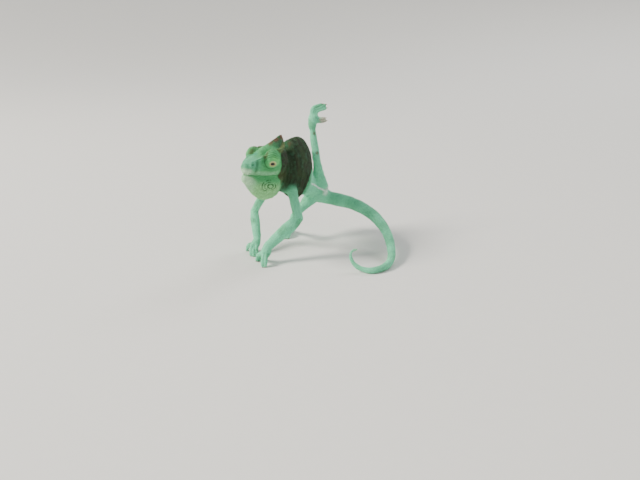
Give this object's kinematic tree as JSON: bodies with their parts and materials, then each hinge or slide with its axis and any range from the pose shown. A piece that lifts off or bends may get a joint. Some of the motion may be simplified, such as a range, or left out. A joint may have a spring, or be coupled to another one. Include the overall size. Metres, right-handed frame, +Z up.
{
  "type": "veiled chameleon",
  "caption": "Young veiled chameleon with a low casque, standing with the head up, a hind leg raised high and the tail curled out to one side.",
  "frame": {"origin": "on the floor under the middle of the model's bounding box", "axes": "-Y the way the trunk and the nose point, +X the animal's left side, to which the tail curls, +Z up from the floor"},
  "size_m": [0.0676, 0.0672, 0.0612],
  "materials": {
    "eye": "wet gloss, gold iris round a black pupil",
    "head_skin": "matte granular scales, bright green",
    "throat_skin": "matte granular scales, pale yellow green",
    "body_skin": "matte granular scales, dark olive green",
    "limb_skin": "satin granular scales, pale mint green"
  },
  "bodies": {
    "root": {"casque": "head_skin", "head": "head_skin", "left_eye_turret": "head_skin", "left_eyeball": "eye", "left_front_foot": "limb_skin", "left_front_forearm": "limb_skin", "left_front_inner_toes": "limb_skin", "left_front_outer_toes": "limb_skin", "left_front_upper_arm": "limb_skin", "left_hind_foot": "limb_skin", "left_hind_inner_toes": "limb_skin", "left_hind_outer_toes": "limb_skin", "left_hind_shin": "limb_skin", "left_hind_thigh": "limb_skin", "lower_jaw": "throat_skin", "neck": "head_skin", "right_eye_turret": "head_skin", "right_eyeball": "eye", "right_front_foot": "limb_skin", "right_front_forearm": "limb_skin", "right_front_inner_toes": "limb_skin", "right_front_outer_toes": "limb_skin", "right_front_upper_arm": "limb_skin", "right_hind_foot": "limb_skin", "right_hind_inner_toes": "limb_skin", "right_hind_outer_toes": "limb_skin", "right_hind_shin": "limb_skin", "right_hind_thigh": "limb_skin", "tail_1": "limb_skin", "tail_2": "limb_skin", "tail_3": "limb_skin", "tail_4": "limb_skin", "tail_5": "limb_skin", "tail_6": "limb_skin", "tail_7": "limb_skin", "trunk_front": "body_skin", "trunk_rear": "body_skin"}
  },
  "joints": []
}
